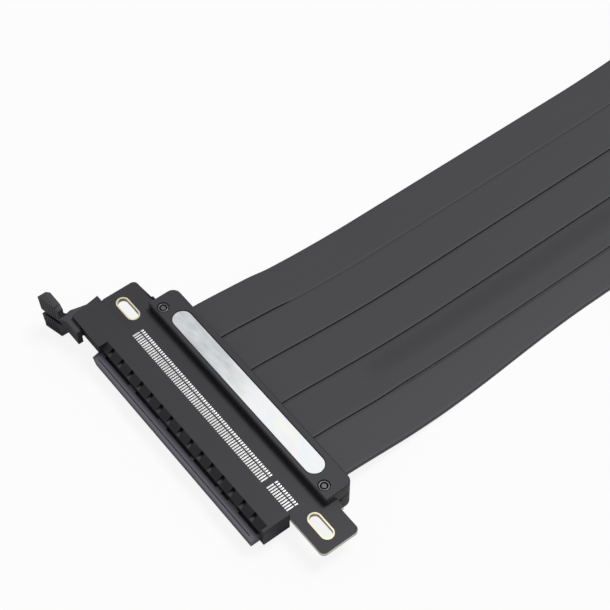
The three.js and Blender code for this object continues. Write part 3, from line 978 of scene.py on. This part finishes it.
@dataclass
class FlatCable:
    """Five flat strips side by side, from one clamp to the other."""

    count: int = 5
    pitch: float = 16.5 * MM
    gap: float = 0.58 * MM
    thick: float = 0.8 * MM
    inside: float = 7.0 * MM
    span: float = 240.0 * MM
    exit_below: float = 2.6 * MM
    spacing: float = 2.0 * MM
    flats: int = 16
    round_steps: int = 3
    edge_round: float = 0.12 * MM
    lip_thick: float = 0.12 * MM
    lip_gap: float = 0.02 * MM
    closing: float = 0.57 * MM
    closes: Edge = (24 * MM, 34 * MM)
    tuck: float = 3.8 * MM
    tucks: Edge = (22 * MM, 112 * MM)
    lifted: float = 0.86 * MM
    lifts: Edge = (28 * MM, 42 * MM)
    held_side: float = 5.4 * MM
    dark_until: float = 36 * MM
    outer_back: float = 0.6 * MM
    colour: Colour = srgb(0x343337)
    # painted light: how much lighter the last strip's jacket is
    last_lit_share: float = 1.18
    shift: float = 0.2 * MM
    drop: tuple[tuple[float, float], ...] = (
        (0, 0), (4, -0.2), (10, -0.8), (18, -1.8), (26, -2.8), (34, -3.7), (42, -4.5),
        (50, -5.1), (58, -5.5), (66, -5.75))
    lying: tuple[float, ...] = (80, 100, 120, 140, 160)

    def __post_init__(self) -> None:
        """Reads where the strips start from the frame."""
        low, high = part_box("slot_board")
        self.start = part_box("clamp_top_cover")[1].y
        self.level = high.z - self.exit_below
        self.middle = (low.x + high.x) / 2 + self.shift
        self.side = (self.pitch - self.gap) / 2

    def route(self) -> list[tuple[float, float]]:
        """Lays out the strips' way from inside one clamp to inside the other.

        Returns:
            Its points as (distance from the clamp, height).
        """
        near = [(-self.inside, 0.0), *[(y * MM, z * MM) for y, z in self.drop]]
        far = [(self.span - y, z) for y, z in reversed(near)]
        floor = self.thick / 2
        lying = [(y * MM, floor) for y in self.lying]
        return [*[(y, max(self.level + z, floor)) for y, z in near], *lying,
                *[(y, max(self.level + z, floor)) for y, z in far]]

    def line(self) -> list[tuple[float, float]]:
        """Draws the route as a smooth line.

        Returns:
            Its close points.
        """
        points = [Vector(p) for p in self.route()]
        points = [2 * points[0] - points[1], *points, 2 * points[-1] - points[-2]]
        line = []
        for a, b, c, d in zip(points, points[1:], points[2:], points[3:]):
            steps = max(1, round((c - b).length / self.spacing))
            line += [self.between(a, b, c, d, step / steps) for step in range(steps)]
        return [*line, tuple(points[-2])]

    @staticmethod
    def between(a: Vector, b: Vector, c: Vector, d: Vector, share: float) -> tuple[float, float]:
        """Finds a point between b and c on a smooth curve.

        Args:
            a: the curve's point before b.
            b: the point where share is 0.
            c: the point where share is 1.
            d: the curve's point after c.
            share: how far along from b to c.

        Returns:
            The point.
        """
        into = (c - a) * ((c - b).length / max((c - a).length, 1e-9))
        out = (d - b) * ((c - b).length / max((d - b).length, 1e-9))
        t2, t3 = share * share, share ** 3
        point = (2 * t3 - 3 * t2 + 1) * b + (t3 - 2 * t2 + share) * into
        return tuple(point + (3 * t2 - 2 * t3) * c + (t3 - t2) * out)

    def section(self) -> list[tuple[float, float]]:
        """Draws a strip's cross-section, with a thin lip at its lower edge.

        Returns:
            Its corners as (across, up).
        """
        half, bend, side = self.thick / 2, self.edge_round, self.side
        reach = side + self.gap - self.lip_gap
        right = [(reach, -half), (reach, self.lip_thick - half), (side, self.lip_thick - half)]
        crown = []
        for turn in range(self.round_steps + 1):
            angle = math.pi / 2 * turn / self.round_steps
            crown.append((side - bend + bend * math.cos(angle),
                          half - bend + bend * math.sin(angle)))
        inner = [(side - bend) * (1 - 2 * i / self.flats) for i in range(1, self.flats)]
        above = [(x, half) for x in inner]
        left = [*[(-x, z) for x, z in reversed(crown)], (-side, -half)]
        below = [(-x, -half) for x in inner]
        return [*right, *crown, *above, *left, *below]

    def lying_share(self, y: float, edge: Edge) -> float:
        """Returns how far along a change is that starts and ends beyond a clamp, at both ends."""
        near = min(y, self.span - y)
        return smooth((near - edge[0]) / (edge[1] - edge[0]))

    def moved(self, index: int, across: float, y: float) -> tuple[float, float]:
        """Finds how a point of a strip leaves its straight lie.

        The first strip closes up to the second, and the last tucks under the one before it,
        which it lifts.

        Args:
            index: the strip's number, from 0.
            across: the point's distance from the strip's middle.
            y: its distance from the clamp.

        Returns:
            Its move as (sideways, up).
        """
        if index == 0 and across <= self.side:
            return (self.closing * self.lying_share(y, self.closes), 0.0)
        if index == self.count - 1:
            return (-self.tuck * self.lying_share(y, self.tucks), 0.0)
        if index == self.count - 2:
            tilt = smooth((across + self.side) / (2 * self.side - self.held_side))
            return (0.0, self.lifted * self.lying_share(y, self.lifts) * tilt)
        return (0.0, 0.0)

    def build(self, ends: Sequence[bpy.types.Object]) -> None:
        """Makes the strips.

        Args:
            ends: the pieces of the far end; not used.
        """
        outer = self.middle + self.count * self.pitch / 2 - self.gap - self.tuck - self.outer_back
        lifted = self.middle + (self.count / 2 - 1) * self.pitch
        # the last strip gets a lighter copy of the jacket, as painted light
        colours = (("cable_jacket", self.colour),
                   ("lit_last_cable_jacket", shade(self.colour, self.last_lit_share)))
        jackets = [CableJacket(name, colour, outer, lifted, self.start + self.dark_until).make()
                   for name, colour in colours]
        for index in range(self.count):
            self.build_strip(index, jackets[index == self.count - 1])

    def strip_mesh(self, index: int, x: float, line: list[tuple[float, float]]) -> bpy.types.Mesh:
        """Makes one strip's mesh.

        Args:
            index: the strip's number, from 0.
            x: its middle at the clamp.
            line: the line that it follows.

        Returns:
            The closed mesh.
        """
        section = self.section()
        size = len(section)
        vertices, faces = [], []
        for place, (y, z) in enumerate(line):
            before, after = line[max(place - 1, 0)], line[min(place + 1, len(line) - 1)]
            slope = Vector((after[0] - before[0], after[1] - before[1])).normalized()
            for across, up in section:
                sideways, lift = self.moved(index, across, y)
                vertices.append((x + across + sideways, self.start + y - slope.y * up,
                                 z + slope.x * up + lift))
        for ring in range(len(line) - 1):
            for corner in range(size):
                nearer = ring * size + corner
                nextward = ring * size + (corner + 1) % size
                faces.append((nearer, nextward, nextward + size, nearer + size))
        faces.append(tuple(reversed(range(size))))
        faces.append(tuple((len(line) - 1) * size + corner for corner in range(size)))
        mesh = bpy.data.meshes.new(f"flat_strip_{index + 1}")
        mesh.from_pydata(vertices, [], faces)
        return mesh

    def build_strip(self, index: int, jacket: bpy.types.Material) -> None:
        """Args:
            index: the strip's number, from 0.
            jacket: its material.
        """
        x = self.middle + (index - (self.count - 1) / 2) * self.pitch
        line = self.line()
        mesh = self.strip_mesh(index, x, line)
        strip = bpy.data.objects.new(mesh.name, mesh)
        bpy.context.scene.collection.objects.link(strip)
        edit(strip, lambda: bpy.ops.mesh.normals_make_consistent(inside=False))
        only(strip)
        bpy.ops.object.shade_smooth_by_angle(angle=math.radians(50))
        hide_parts(f"cable_strip_{index + 1}")
        dress(strip, jacket)
        path = [(x + self.moved(index, 0.0, y)[0], self.start + y, z) for y, z in line]


@dataclass
class FarEnd:
    """The board with the edge connector at the cable's far end."""

    contacts: Contacts = field(default_factory=Contacts)
    finger_wide: float = 0.7 * MM
    finger_thick: float = 0.05 * MM
    finger_end: float = 0.9 * MM
    finger_long: float = 5.6 * MM
    finger_edge: float = 0.02 * MM
    mask: SolderMask = SolderMask("plug_solder_mask", srgb(0x2E2D32))
    gold: Plating = Plating("edge_gold", srgb(0xEBC877), 0.26)

    def __post_init__(self) -> None:
        """Reads the board's place from the frame."""
        self.low, self.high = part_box("plug_board")

    def build(self) -> list[bpy.types.Object]:
        """Makes the board and its gold contacts.

        Returns:
            The pieces.
        """
        board = Board("plug_board", "edge_connector_board", self.mask).build()
        gold = self.gold.make()
        return [board, self.fingers("upper_edge_contacts", self.high.z, 1.0, gold),
                self.fingers("lower_edge_contacts", self.low.z, -1.0, gold)]

    def fingers(self, name: str, level: float, up: float,
                gold: bpy.types.Material) -> bpy.types.Object:
        """Makes the gold contacts of one face.

        Args:
            name: the piece's name.
            level: z of the board's face.
            up: 1 above the board and -1 below it.
            gold: the contacts' material.

        Returns:
            The piece.
        """
        middle = ((self.low.x + self.high.x) / 2,
                  self.high.y - self.finger_end - self.finger_long / 2,
                  level + up * self.finger_thick / 2)
        size = (self.finger_wide, self.finger_long, self.finger_thick)
        bars = self.contacts.bars(name, middle, size, self.finger_edge, 1)
        return dress(bars, gold)


@dataclass
class Label:
    """The bare foil label in the recess of the clamp's top cover."""

    edge_width: float = 0.08 * MM

    def build(self) -> None:
        """Makes the label."""
        low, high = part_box("clamp_label")
        foil = PearlFoil("label_foil", (low.x + high.x) / 2)
        dress(moulding("clamp_label", "foil_label", self.edge_width), foil.make())


@dataclass
class Studio:
    """The camera, lamps and pale floor."""

    focal: float = 1639.83
    frame_side: float = 610.0
    sensor: float = 36.0
    clip: tuple[float, float] = (0.01, 20.0)
    azimuth: float = 141.97
    downward: float = 53.85
    place: Point = (238.5 * MM, -147.1 * MM, 443.46 * MM)
    sky: float = 0.42
    sun: float = 2.1
    sun_wide: float = 26.0
    sun_ahead: Point = (-0.05, -0.42, -0.9)
    floor_side: float = 6.0
    floor_tone: Colour = (0.5, 0.5, 0.5)
    floor_glow: float = 1.08
    floor_share: float = 0.9

    def build(self) -> None:
        """Makes the camera, the lamps and the floor."""
        self.build_camera()
        self.build_lamps()
        self.build_floor()
        bpy.context.scene.view_settings.view_transform = "Standard"

    def build_camera(self) -> None:
        """Places the camera where the photograph was taken from, measured from the slot."""
        data = bpy.data.cameras.new("camera")
        data.sensor_width = self.sensor
        data.lens = self.sensor * self.focal / self.frame_side
        data.clip_start, data.clip_end = self.clip
        camera = bpy.data.objects.new("camera", data)
        bpy.context.scene.collection.objects.link(camera)
        turn, tilt = math.radians(self.azimuth), math.radians(self.downward)
        ahead = Vector((math.cos(turn) * math.cos(tilt), math.sin(turn) * math.cos(tilt),
                        -math.sin(tilt)))
        low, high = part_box("slot_board")
        slot = Vector(((low.x + high.x) / 2, low.y + SLOT_LINE, high.z))
        camera.location = slot + Vector(self.place)
        camera.rotation_mode = "QUATERNION"
        camera.rotation_quaternion = ahead.to_track_quat("-Z", "Y")
        bpy.context.scene.camera = camera

    def build_lamps(self) -> None:
        """Makes an even white sky and one soft lamp from behind the cable."""
        world = bpy.data.worlds.new("sky")
        world.use_nodes = True
        background = world.node_tree.nodes["Background"]
        background.inputs["Color"].default_value = (1.0, 1.0, 1.0, 1.0)
        background.inputs["Strength"].default_value = self.sky
        bpy.context.scene.world = world
        data = bpy.data.lights.new("soft_lamp", "SUN")
        data.energy = self.sun
        data.angle = math.radians(self.sun_wide)
        lamp = bpy.data.objects.new("soft_lamp", data)
        bpy.context.scene.collection.objects.link(lamp)
        lamp.rotation_mode = "QUATERNION"
        lamp.rotation_quaternion = Vector(self.sun_ahead).to_track_quat("-Z", "Y")

    def build_floor(self) -> None:
        """Makes a floor that the camera sees nearly white, with the part's shadow on it."""
        bpy.ops.object.select_all(action="DESELECT")
        bpy.ops.mesh.primitive_plane_add(size=self.floor_side)
        floor = bpy.context.object
        floor.name = "floor"
        tree = Tree("pale_floor")
        seen = tree.node("ShaderNodeLightPath", out="Is Camera Ray")
        pale = tree.noise(3.0, 1.0) * 0.01 + 0.9
        lit = tree.node("ShaderNodeBsdfDiffuse", None, {0: (*self.floor_tone, 1.0)})
        white = tree.node("ShaderNodeEmission", None, {1: self.floor_glow})
        share = seen * self.floor_share * pale
        mixed = tree.node("ShaderNodeMixShader", None, {0: share, 1: lit, 2: white})
        floor.data.materials.append(tree.surface(mixed))


def main() -> None:
    """Builds the scene."""
    logging.basicConfig(level=logging.INFO, format="%(name)s %(message)s")
    Studio().build()
    far_cover = MouldedPlastic("plug_plastic", srgb(0x2D2C30), 0.46)
    far_clamp = Clamp("plug_top_cover", "plug_bottom_cover",
                      ("plug_screw_left", "plug_screw_right"), far_cover)
    FlatCable().build([*FarEnd().build(), *far_clamp.build()])
    SlotEnd().build()
    cover = MouldedPlastic("clamp_plastic", srgb(0x2D2C30), 0.46)
    Clamp("clamp_top_cover", "clamp_bottom_cover",
          ("clamp_screw_latch_side", "clamp_screw_key_side"), cover).build()
    Label().build()


if __name__ == "__main__":
    main()
